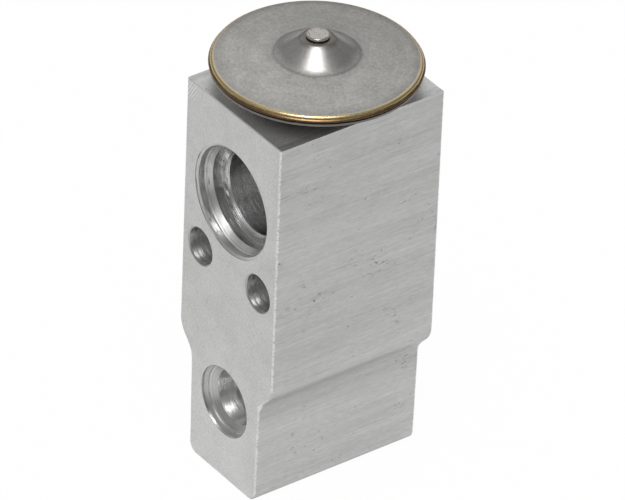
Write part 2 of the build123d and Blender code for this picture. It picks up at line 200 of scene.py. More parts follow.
# %% Aluminium of the block
BLOCK_HALF_DEPTH, BLOCK_HALF_WIDTH, BLOCK_HEIGHT = 17.65, 14.0, 78.0
FOOT_HALF_WIDTHS, SHOULDER_LOW_Z, SHOULDER_HIGH_Z = (10.0, 10.35), 21.4, 25.4
SUCTION_Z, INLET_Z, OUTLET_Z = 59.5, 16.35, 30.0

# The bores are told apart by height: the two lower ports, the bolt holes, the suction port
LOWER_PORTS_TOP_Z, BOLT_HOLES_LOW_Z, SUCTION_LOW_Z = 40.0, 41.0, 48.62
# No bore reaches further out than this, near the bottom and in the foot, and more above it
BORE_REACH, UPPER_BORE_REACH = (7.3, 9.7), 2.7
# How near to a port face or to the top a point counts as on it, and how deep an end reaches
FACE_SKIN, END_DEPTH = 0.03, 0.5

# Brightness and roughness of the ports' rings, as (depth below the face in mm, value). Each pair
# of equal values is one turned surface: collar, entry, cone, sealing wall, lip and passage. The
# brightness is partly painted light and shade: the sealing walls and the inlet's chamfer are
# painted darker, as if in shade, other rings lighter, as if catching light, and the short bright
# stop at the suction port's floor is a painted highlight line. The short dark stops are single
# grooves of the tool.
SUCTION_TONE_AND_SHADE = [(0.0, 0.60), (0.38, 0.58), (0.42, 0.86), (1.45, 0.86), (1.68, 0.66), (1.93, 0.66),
                (1.96, 0.42), (2.03, 0.42), (2.06, 0.64), (2.92, 0.64), (2.98, 0.40), (4.78, 0.48),
                (4.83, 0.85), (4.87, 0.85), (4.89, 0.40), (4.97, 0.40), (5.00, 0.62), (5.38, 0.62),
                (5.42, 0.72), (8.0, 0.70)]
SUCTION_ROUGH = [(0.0, 0.34), (1.62, 0.34), (1.68, 0.38), (2.92, 0.38), (2.98, 0.26), (8.0, 0.26)]
INLET_TONE_AND_SHADE = [(0.0, 0.80), (0.48, 0.80), (0.52, 0.50), (0.98, 0.50), (1.02, 0.92), (1.33, 0.92),
              (1.37, 0.58), (1.62, 0.58), (1.65, 0.40), (1.70, 0.40), (1.73, 0.56), (2.38, 0.52),
              (2.42, 0.80), (5.80, 0.80), (5.86, 0.45), (8.0, 0.40)]
INLET_ROUGH = [(0.0, 0.38), (1.33, 0.36), (2.38, 0.36), (2.42, 0.20), (5.80, 0.20), (5.86, 0.30),
               (8.0, 0.30)]
BOLT_TONE = [(0.0, 0.45), (0.22, 0.45), (0.27, 0.56), (8.0, 0.62)]
BOLT_ROUGH = 0.34

# Saw marks: the corner they lie in, and the direction, spacing and brightness of their lines
SAW_CORNER_X, SAW_CORNER_Z = (10.2, 11.6), (73.4, 75.2)
SAW_WAY_X, SAW_WAY_Z, SAW_SPACING, SAW_TONES = 0.85, 0.53, 0.55, (-0.08, 0.14)

# The edge tone is partly a painted highlight: a bright line along the block's edges
PIT_TONE, EDGE_HIGHLIGHT_TONE, EDGE_SPAN = 0.24, 0.85, (-0.30, -0.20)
# How far the tool's grooves tip a wall, how far a drilled wall leans, and where it starts
GROOVE_TIP, WALL_LEAN, DRILLED_DEPTH = 0.75, 0.27, 2.40


def finish_block():
    """Bar aluminium: streaked sides, grained port faces, sawn ends, ringed bores, nicked edges."""
    material, tree, shader, point, (x, y, z) = start_finish("bar_aluminium")
    out_x, out_y = calc(tree, "ABSOLUTE", x), calc(tree, "ABSOLUTE", y)
    depth = calc(tree, "SUBTRACT", BLOCK_HALF_DEPTH, out_y)
    on_port_face = calc(tree, "LESS_THAN", depth, FACE_SKIN)
    reach_of_bores = calc(tree, "ADD", fade(tree, z, 0, 2, *BORE_REACH),
                          fade(tree, z, 29, 31, 0, UPPER_BORE_REACH))
    on_side = calc(tree, "MULTIPLY", calc(tree, "GREATER_THAN", out_x, reach_of_bores),
                   inverse(tree, on_port_face))
    on_end = calc(tree, "MAXIMUM", calc(tree, "GREATER_THAN", z, BLOCK_HEIGHT - END_DEPTH),
                  calc(tree, "LESS_THAN", z, END_DEPTH))
    outside = calc(tree, "MAXIMUM", on_port_face, on_side, on_end)
    inside = inverse(tree, outside)

    # Side faces: streaks along the bar, wide and soft under narrow and sharp. Painted shade darkens
    # the hollow under the shoulder, and painted light makes the sides a little lighter lower down
    wide = speckle(tree, point, 2.6, (2, 22, 1), detail=3)
    narrow = speckle(tree, point, 0.42, (4, 34, 1), detail=3, rough=0.7)
    scuffs = speckle(tree, point, 0.30, (1, 5, 1), detail=4, rough=0.7)
    scored = speckle(tree, point, 0.50, (3, 45, 1), detail=2)
    side_tone = calc(tree, "ADD", spread(tree, wide, 0.515, 0.575),
                     spread(tree, narrow, -0.035, 0.035), spread(tree, scuffs, -0.05, 0.05),
                     fade(tree, scored, 0.63, 0.70, 0, 0.05),
                     fade(tree, scored, 0.37, 0.30, 0, -0.05))
    shaded_hollow = calc(tree, "MULTIPLY", fade(tree, z, 16.0, 19.0), fade(tree, z, 23.0, 21.8))
    side_tone = calc(tree, "MULTIPLY", side_tone, fade(tree, shaded_hollow, 0, 1, 1.0, 0.90),
                     fade(tree, z, 64, 50, 1.0, 1.03))

    # The saw that cut the bar left slanting lines in one corner of each port face
    grain = speckle(tree, point, 0.30, (1, 1, 1.6), detail=4, rough=0.75)
    saw_way = calc(tree, "SUBTRACT", calc(tree, "MULTIPLY", x, SAW_WAY_X),
                   calc(tree, "MULTIPLY", z, SAW_WAY_Z))
    saw_way = calc(tree, "ADD", saw_way, calc(tree, "MULTIPLY", grain, 0.35))
    saw_lines = calc(tree, "SINE", calc(tree, "MULTIPLY", saw_way, 2 * math.pi / SAW_SPACING))
    on_one_hand = calc(tree, "GREATER_THAN", calc(tree, "MULTIPLY", x, y), 0.0)
    saw_marks = calc(tree, "MULTIPLY", fade(tree, out_x, *SAW_CORNER_X),
                     fade(tree, z, *SAW_CORNER_Z), on_one_hand, on_port_face,
                     fade(tree, saw_lines, -1, 1, *SAW_TONES))

    # Port faces: a close grain under slow clouds
    cloud = speckle(tree, point, 6.0, detail=3)
    face_tone = calc(tree, "ADD", spread(tree, cloud, 0.60, 0.645),
                     spread(tree, grain, -0.10, 0.10), saw_marks)

    # Pits come in patches, and are longer than wide
    pits = fade(tree, speckle(tree, point, 0.62, (1, 1.5, 0.8), detail=5, rough=0.75), 0.60, 0.65)
    patches = fade(tree, speckle(tree, point, 5.5, detail=3), 0.52, 0.62)
    pits = calc(tree, "MULTIPLY", pits, patches, outside)

    # Bores: rings of the tool follow the depth from the face
    ring_point = vector(tree, depth, 0.0, calc(tree, "MULTIPLY", z, 0.02))
    rings = speckle(tree, ring_point, 0.045, detail=1)
    wide_rings = speckle(tree, ring_point, 0.8, detail=2)
    in_suction = calc(tree, "GREATER_THAN", z, SUCTION_LOW_Z)
    in_bolt_hole = calc(tree, "MULTIPLY", calc(tree, "GREATER_THAN", z, BOLT_HOLES_LOW_Z),
                        calc(tree, "LESS_THAN", z, SUCTION_LOW_Z))

    def by_bore(lower_port, bolt_hole, suction):
        """Pick one of three numbers by the bore that the point lies in."""
        port = mix_numbers(tree, in_suction, lower_port, suction)
        return mix_numbers(tree, in_bolt_hole, port, bolt_hole)

    # The rings' brightness is partly painted light and shade, as the tables above say
    bore_tone_and_shade = by_bore(curve(tree, depth, INLET_TONE_AND_SHADE), curve(tree, depth, BOLT_TONE),
                        curve(tree, depth, SUCTION_TONE_AND_SHADE))
    bore_tone_and_shade = calc(tree, "MULTIPLY", bore_tone_and_shade, spread(tree, wide_rings, 0.92, 1.08))
    bore_rough = by_bore(curve(tree, depth, INLET_ROUGH), BOLT_ROUGH,
                         curve(tree, depth, SUCTION_ROUGH))

    # Edges of the port faces and the top: a bright line, partly the tumbled burr and partly a
    # painted highlight where the edge catches light, broken into short nicks
    foot = fade(tree, z, 0, SHOULDER_LOW_Z, *FOOT_HALF_WIDTHS)
    shoulder = fade(tree, z, SHOULDER_LOW_Z, SHOULDER_HIGH_Z,
                    0, BLOCK_HALF_WIDTH - FOOT_HALF_WIDTHS[1])
    half_width = calc(tree, "ADD", foot, shoulder)
    nicks = speckle(tree, point, 0.55, (1, 1, 0.8), detail=4, rough=0.75)
    past_edge = calc(tree, "SUBTRACT", out_x, half_width, depth)
    past_edge = calc(tree, "ADD", past_edge, spread(tree, nicks, -0.18, 0.18))
    past_top = calc(tree, "SUBTRACT", z, BLOCK_HEIGHT, depth)
    edge_burr_and_highlight = calc(tree, "MAXIMUM", fade(tree, past_edge, *EDGE_SPAN),
                   fade(tree, past_top, *EDGE_SPAN))
    edge_burr_and_highlight = calc(tree, "MULTIPLY", edge_burr_and_highlight, outside)

    # Painted light: the foot and the sawn top are painted a little brighter than the rest, as if
    # more light fell on them
    lit_top = fade(tree, z, BLOCK_HEIGHT - 2 * FACE_SKIN, BLOCK_HEIGHT - FACE_SKIN, 1.0, 1.12)
    tone = calc(tree, "MULTIPLY", mix_numbers(tree, on_side, face_tone, side_tone),
                fade(tree, z, 34, 12, 1.0, 1.09), lit_top)
    tone = mix_numbers(tree, pits, tone, PIT_TONE)
    tone = mix_numbers(tree, edge_burr_and_highlight, tone, EDGE_HIGHLIGHT_TONE)
    tone = mix_numbers(tree, outside, bore_tone_and_shade, tone)
    blue = calc(tree, "MULTIPLY", tone, 0.99)
    colour = add_node(tree, "CombineColor", {0: tone, 1: tone, 2: blue}).outputs[0]
    rough = mix_numbers(tree, outside, bore_rough, spread(tree, cloud, 0.48, 0.42))

    # Each groove of the tool tips the wall towards or away from the port's mouth, and a floor
    # towards or away from the port's axis, so both vectors are added to the surface's normal
    lower_port_z = mix_numbers(tree, calc(tree, "GREATER_THAN", y, 0.0), INLET_Z, OUTLET_Z)
    port_z = mix_numbers(tree, in_suction, lower_port_z, SUCTION_Z)
    from_axis = vector(tree, x, 0.0, calc(tree, "SUBTRACT", z, port_z))
    from_axis = vector_calc(tree, "NORMALIZE", from_axis)
    from_axis = vector_calc(tree, "SCALE", from_axis, inverse(tree, in_bolt_hole))
    tip_way = vector_calc(tree, "ADD", from_axis, (0, 1, 0))
    tip = calc(tree, "MULTIPLY", fade(tree, rings, 0.28, 0.72, -GROOVE_TIP, GROOVE_TIP), inside,
               fade(tree, in_bolt_hole, 0, 1, 1.0, 0.50))
    normal = vector_calc(tree, "ADD", add_node(tree, "NewGeometry").outputs["Normal"],
                         vector_calc(tree, "SCALE", tip_way, tip))

    # The drill leaves the walls of bolt holes and lower ports open towards the mouth by a hair
    drilled = calc(tree, "MULTIPLY", calc(tree, "GREATER_THAN", depth, DRILLED_DEPTH),
                   calc(tree, "LESS_THAN", z, LOWER_PORTS_TOP_Z))
    drilled = calc(tree, "MAXIMUM", drilled, calc(tree, "MULTIPLY", in_bolt_hole, 0.72))
    lean = calc(tree, "MULTIPLY", drilled, inside, fade(tree, y, -1, 1, -WALL_LEAN, WALL_LEAN))
    normal = vector_calc(tree, "ADD", normal, vector(tree, 0.0, lean, 0.0))
    normal = vector_calc(tree, "NORMALIZE", normal)

    normal = bump(tree, mix_numbers(tree, on_side, grain, narrow), 0.008, normal)
    normal = bump(tree, inverse(tree, pits), 0.03, normal)
    connect(tree, shader, colour, rough, bump(tree, nicks, 0.02, normal))
    return material


wear("valve_body", finish_block())
print("block finish nodes:", len(nodes["valve_body"].data.materials[0].node_tree.nodes))

# %% [markdown]
# The power head's cover is pressed from stainless sheet and left with a dull, clouded skin. Only
# the cone in its middle was drawn hard over the tool, so it is smoother and throws a highlight.

# %% Stainless of the cover
CONE_BASE_RADIUS = 7.8
DARKER_RIM_RADII, SCORCHED_RADII = (15.9, 17.4), (3.7, 2.7)
SPECK_TONE, SCORCH_COLOUR = 0.22, (0.13, 0.115, 0.09)
RED_SHARE, BLUE_SHARE = 1.012, 0.955


def finish_cover():
    """Dull pressed sheet: clouds, a fine mottle, faint turning rings, and a smoother drawn cone."""
    material, tree, shader, point, (x, y, _) = start_finish("pressed_stainless")
    radius = axis_distance(tree, x, y)
    on_cone = fade(tree, radius, CONE_BASE_RADIUS + 0.1, CONE_BASE_RADIUS - 1.2)
    cloud = speckle(tree, point, 4.0, detail=5, rough=0.65)
    mottle = speckle(tree, point, 0.55, detail=5, rough=0.75)
    specks = fade(tree, speckle(tree, point, 0.40, detail=5, rough=0.7), 0.655, 0.72)
    ring_point = vector(tree, radius, calc(tree, "MULTIPLY", x, 0.03))
    rings = speckle(tree, ring_point, 0.35, detail=3, rough=0.7)
    tone = calc(tree, "ADD", spread(tree, cloud, 0.385, 0.485), spread(tree, mottle, -0.11, 0.11),
                spread(tree, rings, -0.035, 0.035))

    # The sheet is darker towards the rim; a ring round the cone is painted shade, as if in a
    # shallow dip; and the -y half is painted a little lighter and the other half darker, as light
    # falls on them
    darker_rim = fade(tree, radius, *DARKER_RIM_RADII, 1.0, 0.90)
    shaded_ring = fade(tree, radius, CONE_BASE_RADIUS + 1.9, CONE_BASE_RADIUS + 0.3, 1.0, 0.90)
    lit_side = fade(tree, y, -16, 16, 1.08, 0.94)
    tone = calc(tree, "MULTIPLY", tone, darker_rim, shaded_ring, lit_side)
    tone = mix_numbers(tree, specks, tone, SPECK_TONE)
    tone = mix_numbers(tree, on_cone, tone, spread(tree, mottle, 0.34, 0.44))

    # Painted shade: a dark line along the bend at the cone's foot
    wavy_radius = calc(tree, "ADD", radius, spread(tree, cloud, -0.15, 0.15))
    off_bend = calc(tree, "SUBTRACT", wavy_radius, CONE_BASE_RADIUS - 0.1)
    off_bend = calc(tree, "ABSOLUTE", off_bend)
    tone = calc(tree, "MULTIPLY", tone, fade(tree, off_bend, 0.0, 0.5, 0.78, 1.0))
    red, blue = calc(tree, "MULTIPLY", tone, RED_SHARE), calc(tree, "MULTIPLY", tone, BLUE_SHARE)
    colour = add_node(tree, "CombineColor", {0: red, 1: tone, 2: blue}).outputs[0]

    # Welding the plug scorched the top of the cone
    scorched_radius = calc(tree, "ADD", radius, spread(tree, cloud, -0.3, 0.3))
    scorch = fade(tree, scorched_radius, *SCORCHED_RADII, 0.0, 0.75)
    colour = mix_colours(tree, scorch, colour, SCORCH_COLOUR)
    rough = mix_numbers(tree, on_cone, spread(tree, mottle, 0.36, 0.50), 0.34)
    normal = bump(tree, rings, 0.010, bump(tree, mottle, 0.012))
    connect(tree, shader, colour, rough, normal)
    return material


cover_finish = finish_cover()
print("cover finish:", cover_finish.name)

# %% [markdown]
# Welding heats the rim until a thin oxide grows on it. The oxide's thickness sets its colour: gold
# where the heat was mild, brown and nearly black underneath, where it stayed longest.

# %% Heat-tinted weld
RIM_Z = 82.9
PALE_AND_SHEEN = (0.50, 0.44, 0.32)
LIGHT_GOLD, DEEP_GOLD = (0.62, 0.48, 0.25), (0.50, 0.39, 0.20)
DARK_BROWN, RED_BROWN = (0.10, 0.06, 0.045), (0.21, 0.135, 0.065)


def finish_weld():
    """Pale at the top, partly heat tint and partly a painted sheen, then gold, and brown below,
    with the tint shifting a little around the rim.
    """
    material, tree, shader, point, (_, _, z) = start_finish("heat_tinted_weld")
    drift = speckle(tree, point, 3.0, detail=4)
    height = calc(tree, "ADD", z, spread(tree, drift, -0.14, 0.14))
    brown_share = fade(tree, height, RIM_Z - 0.42, RIM_Z - 0.16)
    gold_share = fade(tree, height, RIM_Z - 0.04, RIM_Z + 0.18)
    # The pale band on top is partly heat tint and partly a painted sheen where the bead faces the
    # light
    pale_and_sheen_share = fade(tree, height, RIM_Z + 0.40, RIM_Z + 0.62)
    gold = mix_colours(tree, fade(tree, drift, 0.35, 0.65), LIGHT_GOLD, DEEP_GOLD)
    brown = mix_colours(tree, brown_share, DARK_BROWN, RED_BROWN)
    colour = mix_colours(tree, gold_share, brown, gold)
    colour = mix_colours(tree, pale_and_sheen_share, colour, PALE_AND_SHEEN)
    scale = speckle(tree, point, 0.8, detail=4)
    connect(tree, shader, colour, spread(tree, scale, 0.22, 0.32), bump(tree, scale, 0.010))
    return material


weld_finish = finish_weld()
print("weld finish:", weld_finish.name)

# %% [markdown]
# The pieces inside the valve are turned, ground, rolled or moulded. They share three simple
# finishes whose colours differ: turned metal with rings about the axis, sheet or wire, and rubber.
# The head's base shows its flange under the weld, so it has a finish of its own.

# %% Finishes of the inner pieces and the base
def finish_turned(name, colour, rough):
    """Turned metal: fine rings that follow height and radius about the valve's axis."""
    material, tree, shader, point, (x, y, z) = start_finish(name)
    along = vector(tree, calc(tree, "ADD", z, axis_distance(tree, x, y)))
    rings = speckle(tree, along, 0.12, detail=3)
    shade = speckle(tree, point, 2.5, detail=3)
    dark = tuple(0.82 * c for c in colour)
    connect(tree, shader, mix_colours(tree, spread(tree, shade), dark, colour),
            spread(tree, rings, rough - 0.06, rough + 0.08), bump(tree, rings, 0.005))
    return material


def finish_sheet(name, colour, rough):
    """Rolled or drawn steel: a soft grain with clouded tone."""
    material, tree, shader, point, _ = start_finish(name)
    grain = speckle(tree, point, 0.15, (1, 6, 1), detail=2)
    shade = speckle(tree, point, 1.8, detail=4)
    dark = tuple(0.8 * c for c in colour)
    connect(tree, shader, mix_colours(tree, spread(tree, shade), dark, colour),
            spread(tree, shade, rough, rough + 0.12), bump(tree, grain, 0.004))
    return material


RUBBER, BLOOM = (0.016, 0.016, 0.017), (0.034, 0.034, 0.036)


def finish_rubber(name):
    """Moulded seal rubber: near black, with a faint bloom and a fine matt skin."""
    material, tree, shader, point, _ = start_finish(name, metallic=0.0)
    bloom = speckle(tree, point, 1.2, detail=4)
    skin = speckle(tree, point, 0.09, detail=2)
    connect(tree, shader, mix_colours(tree, fade(tree, bloom, 0.35, 0.7), RUBBER, BLOOM),
            spread(tree, bloom, 0.42, 0.58), bump(tree, skin, 0.004))
    return material


BURNT_RADII = (17.6, 18.5)


def finish_base():
    """Sheet like the cover's, with a dark heat mark on the flange where the weld came near."""
    material, tree, shader, point, (x, y, _) = start_finish("base_stainless")
    cloud = speckle(tree, point, 1.6, detail=5, rough=0.7)
    radius = calc(tree, "ADD", axis_distance(tree, x, y), spread(tree, cloud, -0.3, 0.3))
    share = spread(tree, cloud)
    sheet = mix_colours(tree, share, (0.33, 0.325, 0.31), (0.40, 0.39, 0.375))
    burnt = mix_colours(tree, share, (0.15, 0.135, 0.12), (0.24, 0.23, 0.215))
    colour = mix_colours(tree, fade(tree, radius, *BURNT_RADII), sheet, burnt)
    connect(tree, shader, colour, spread(tree, cloud, 0.34, 0.46), bump(tree, cloud, 0.012))
    return material


seal_rubber = finish_rubber("seal_rubber")
for seal in ("head_seal", "rod_seal", "screw_seal"):
    wear(seal, seal_rubber)
wear("head_base", finish_base())
wear("diaphragm", finish_sheet("diaphragm_foil", (0.62, 0.62, 0.61), 0.22))
wear("seal_retainer", finish_sheet("retainer_spring_steel", (0.50, 0.50, 0.49), 0.26))
wear("damping_spring", finish_sheet("damper_spring_steel", (0.54, 0.53, 0.51), 0.24))
spring_finish = finish_sheet("spring_wire", (0.42, 0.42, 0.42), 0.28)
wear("valve_spring", spring_finish)
wear("stop_plate", finish_turned("plate_aluminium", (0.66, 0.66, 0.67), 0.32))
wear("sensing_rod", finish_turned("rod_aluminium", (0.62, 0.62, 0.63), 0.30))
wear("push_rod", finish_turned("ground_rod", (0.60, 0.60, 0.60), 0.16))
wear("valve_ball", finish_turned("ball_steel", (0.66, 0.66, 0.66), 0.10))
wear("ball_carrier", finish_turned("carrier_steel", (0.52, 0.51, 0.49), 0.28))
wear("adjusting_screw", finish_turned("screw_brass", (0.66, 0.46, 0.20), 0.26))
print("inner pieces finished")

# %% [markdown]
# New surfaces are grids of points worked out with whole arrays. A lathe is the natural tool for a
# valve: a profile of radius and height is carried round the axis. Profiles are drawn as straight
# runs with rounded corners, because that is how pressed sheet is dimensioned.

# %% Surfaces of revolution
def rounded_path(corners, rounding, steps=8):
    """Straight runs between corners, each inner corner swapped for a short curve.

    The curve starts and ends at the corner's rounding length along its two runs, and its points
    are the quadratic blend (1-t)^2 start + 2t(1-t) corner + t^2 end."""
    corners = np.asarray(corners, float)
    t = np.linspace(0, 1, steps)[:, None]
    parts = [corners[:1]]
    for before, corner, after, length in zip(corners, corners[1:], corners[2:], rounding):
        back = (before - corner) / np.linalg.norm(before - corner)
        ahead = (after - corner) / np.linalg.norm(after - corner)
        start, end = corner + length * back, corner + length * ahead
        parts.append((1 - t) ** 2 * start + 2 * t * (1 - t) * corner + t ** 2 * end)
    return np.vstack(parts + [corners[-1:]])


def even_steps(path, step):
    """Resample a path so that its points lie about step apart, measured along it."""
    runs = np.r_[0, np.cumsum(np.linalg.norm(np.diff(path, axis=0), axis=1))]
    marks = np.linspace(0, runs[-1], max(2, int(runs[-1] / step) + 1))
    marks = np.unique(np.r_[marks, runs])
    return np.column_stack([np.interp(marks, runs, side) for side in path.T])


def lathe_points(profile, around):
    """Carry (radius, height) round the axis: x = r cos a, y = r sin a, z = height."""
    angle = np.linspace(0, 2 * np.pi, around, endpoint=False)
    radius, height = profile[:, 0][:, None], profile[:, 1][:, None]
    return np.stack([radius * np.cos(angle), radius * np.sin(angle), height + 0 * angle], axis=-1)


def grid_object(name, points):
    """Join a grid of points (rows, columns, 3) in mm into a mesh, closed along its columns.

    Each face joins a point with its neighbours in the next row and column. Points that meet, as
    on the axis, are merged, and the faces are turned to look outwards."""
    rows, columns = points.shape[:2]
    index = np.arange(rows * columns).reshape(rows, columns)
    beside = np.roll(index, -1, axis=1)
    faces = np.stack([index[:-1], beside[:-1], beside[1:], index[1:]], axis=-1).reshape(-1, 4)
    mesh = bpy.data.meshes.new(name)
    mesh.from_pydata((points.reshape(-1, 3) * MM).tolist(), [], faces.tolist())
    made = bpy.data.objects.new(name, mesh)
    bpy.context.scene.collection.objects.link(made)
    close_and_smooth(made)
    return made


def close_and_smooth(made, sharp_degrees=32):
    """Merge points that meet, turn the faces outwards and shade smooth up to a sharp angle."""
    bpy.context.view_layer.objects.active = made
    for other in bpy.context.selected_objects:
        other.select_set(False)
    made.select_set(True)
    bpy.ops.object.mode_set(mode="EDIT")
    bpy.ops.mesh.select_all(action="SELECT")
    bpy.ops.mesh.remove_doubles(threshold=2e-7)
    bpy.ops.mesh.normals_make_consistent(inside=False)
    bpy.ops.object.mode_set(mode="OBJECT")
    made.data.shade_smooth()
    made.data.set_sharp_from_angle(angle=math.radians(sharp_degrees))
    made.select_set(False)


def dress(piece, material, body, stands_for):
    """Give a piece its finish, seat it on a body and hide the CAD node that it stands for."""
    piece.data.materials.append(material)
    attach(piece, body)
    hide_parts(stands_for)
    print(piece.name, "faces:", len(piece.data.polygons))


print("surface helpers ready")

# %% [markdown]
# The cover starts just inside the weld, rolls up over its edge, rises in a very slight crown and
# then climbs the cone. Pressed sheet is never quite true, so the crown gets dents of a few
# hundredths of a millimetre: too small to measure by eye, but enough to bend its reflections.

# %% Pressed cover
COVER_SHEET, COVER_HOLE_RADIUS, COVER_EDGE_RADIUS = 0.8, 1.50, 18.28
COVER_TOP = [(18.30, 83.42), (18.00, 83.50), (17.20, 83.66), (8.30, 84.55), (7.85, 84.55),
             (6.90, 84.88), (3.05, 87.80), (2.55, 87.94), (COVER_HOLE_RADIUS, 87.94)]
COVER_ROUNDING = [0.10, 0.40, 0.20, 0.20, 0.90, 0.25, 0.15]
COVER_STEP, COVER_AROUND = 0.30, 288
CROWN_INNER_RADIUS, CROWN_OUTER_RADIUS, DENT_DEPTH = 8, 17.5, 0.035


def make_cover():
    """A closed sheet: the top profile going in, and the same profile one sheet lower coming back.

    The dents are a sum of slow waves, dz = d (sin(3a + r/2) + sin(5a - r/3) + sin(2a + 1)) / 3,
    and they die out over 2 mm at both sides of the crown."""
    top = even_steps(rounded_path(COVER_TOP, COVER_ROUNDING), COVER_STEP)
    slope = np.gradient(top, axis=0)
    normal = np.column_stack([-slope[:, 1], slope[:, 0]])
    normal *= -1 / np.linalg.norm(normal, axis=1)[:, None]
    under = top - COVER_SHEET * np.where(normal[:, 1:] > 0, normal, -normal)
    under[:, 0] = np.clip(under[:, 0], COVER_HOLE_RADIUS, COVER_EDGE_RADIUS)
    profile = np.vstack([top, under[::-1], top[:1]])
    points = lathe_points(profile, COVER_AROUND)
    radius = np.hypot(points[..., 0], points[..., 1])
    angle = np.arctan2(points[..., 1], points[..., 0])
    waves = (np.sin(3 * angle + radius / 2) + np.sin(5 * angle - radius / 3)
             + np.sin(2 * angle + 1))
    crown = (np.clip((radius - CROWN_INNER_RADIUS) / 2, 0, 1)
             * np.clip((CROWN_OUTER_RADIUS - radius) / 2, 0, 1))
    points[..., 2] += DENT_DEPTH * crown * waves / 3
    return grid_object("pressed_cover", points)


dress(make_cover(), cover_finish, "block", "head_cover")

# %% [markdown]
# The weld bead is a small rounded lip. A weld pool freezes in ripples, so the bulge of its section
# is made to swell and shrink in short steps round the rim, with a slower drift on top.

# %% Weld bead round the rim
BEAD_SECTION = [(18.05, 83.49), (18.40, 83.44), (18.66, 83.22), (18.74, 82.97), (18.98, 82.78),
                (19.09, 82.60), (18.96, 82.42), (18.25, 82.36)]
BEAD_ROUNDING = [0.12, 0.12, 0.10, 0.10, 0.08, 0.08]
BEAD_STEP, BEAD_AROUND = 0.12, 1250
RIPPLES, RIPPLE_SHARE, DRIFT_SHARE = 250, 0.0015, 0.012


def make_bead():
    """Lathe the section, then swell it round the rim: r = inner + (r - inner)(1 - ripple - drift).

    The ripple is sin(250a + 3z), and the drift is the sum of sin(3a) and sin(7a); both only take
    away, so that the bead stays inside its true size."""
    section = even_steps(rounded_path(BEAD_SECTION, BEAD_ROUNDING, steps=5), BEAD_STEP)
    points = lathe_points(np.vstack([section, section[:1]]), BEAD_AROUND)
    inner = section[:, 0].min()
    angle = np.arctan2(points[..., 1], points[..., 0])
    radius = np.hypot(points[..., 0], points[..., 1])
    ripple = RIPPLE_SHARE * (1 + np.sin(RIPPLES * angle + 3 * points[..., 2]))
    drift = DRIFT_SHARE * (2 + np.sin(3 * angle + 0.5) + np.sin(7 * angle))
    swell = (inner + (radius - inner) * (1 - ripple - drift)) / radius
    points[..., 0] *= swell
    points[..., 1] *= swell
    return grid_object("weld_bead", points)


dress(make_bead(), weld_finish, "block", "rim_weld")

# %% [markdown]
# After the head is charged with gas, a small plug closes the cone's hole. Its button is rounded and
# a little battered by the tool that pushed it home.

# %% Filler plug
PLUG_RADIUS, PLUG_FOOT_Z, PLUG_TOP_Z = 2.15, 87.94, 88.64
STEM_RADIUS, STEM_FOOT_Z = 1.45, 86.34
PLUG_ROUNDING = [0.1, 0.1, 0.06, 0.42, 0.3]
# The dark colour is for the pits and for the button's foot where it meets the cone
PLUG_STEEL, PLUG_DARK = (0.46, 0.435, 0.405), (0.15, 0.12, 0.105)


def finish_plug():
    """Bright steel with small dark pits on the button, and dark where it meets the cone."""
    material, tree, shader, point, (_, _, z) = start_finish("plug_steel")
    pits = fade(tree, speckle(tree, point, 0.55, detail=4, rough=0.65), 0.60, 0.70)
    low = fade(tree, z, PLUG_FOOT_Z + 0.40, PLUG_FOOT_Z + 0.20)
    colour = mix_colours(tree, calc(tree, "MAXIMUM", pits, low), PLUG_STEEL, PLUG_DARK)
    connect(tree, shader, colour, fade(tree, pits, 0, 1, 0.24, 0.45),
            bump(tree, inverse(tree, pits), 0.03))
    return material


def make_plug():
    """A lathe profile from the stem's foot, under the button's lip and over its rounded edge."""
    corners = [(0, STEM_FOOT_Z), (STEM_RADIUS, STEM_FOOT_Z), (STEM_RADIUS, PLUG_FOOT_Z),
               (PLUG_RADIUS, PLUG_FOOT_Z + 0.05), (PLUG_RADIUS, PLUG_TOP_Z - 0.02),
               (0.9, PLUG_TOP_Z), (0, PLUG_TOP_Z - 0.02)]
    profile = even_steps(rounded_path(corners, PLUG_ROUNDING), 0.08)
    return grid_object("plug_button", lathe_points(profile, 96))


dress(make_plug(), finish_plug(), "block", "filler_plug")

# %% [markdown]
# The valve spring is hidden between the ball carrier and the adjusting screw. A real one is wound
# with slower turns at its ends, which are ground flat so that it stands square. Its two ends stand
# on two bodies that move, so it is made in two halves, which meet at mid-height.

# %% Valve spring
COIL_RADIUS, WIRE_RADIUS, COIL_TURNS = 3.9, 0.55, 4.0
SPRING_LOW_Z, SPRING_HIGH_Z = 10.705, 17.594
SLOW_ENDS, END_INSET = 0.34, 0.1
HALF_STEPS, WIRE_AROUND, SEAT_BAND = 161, 24, 0.2


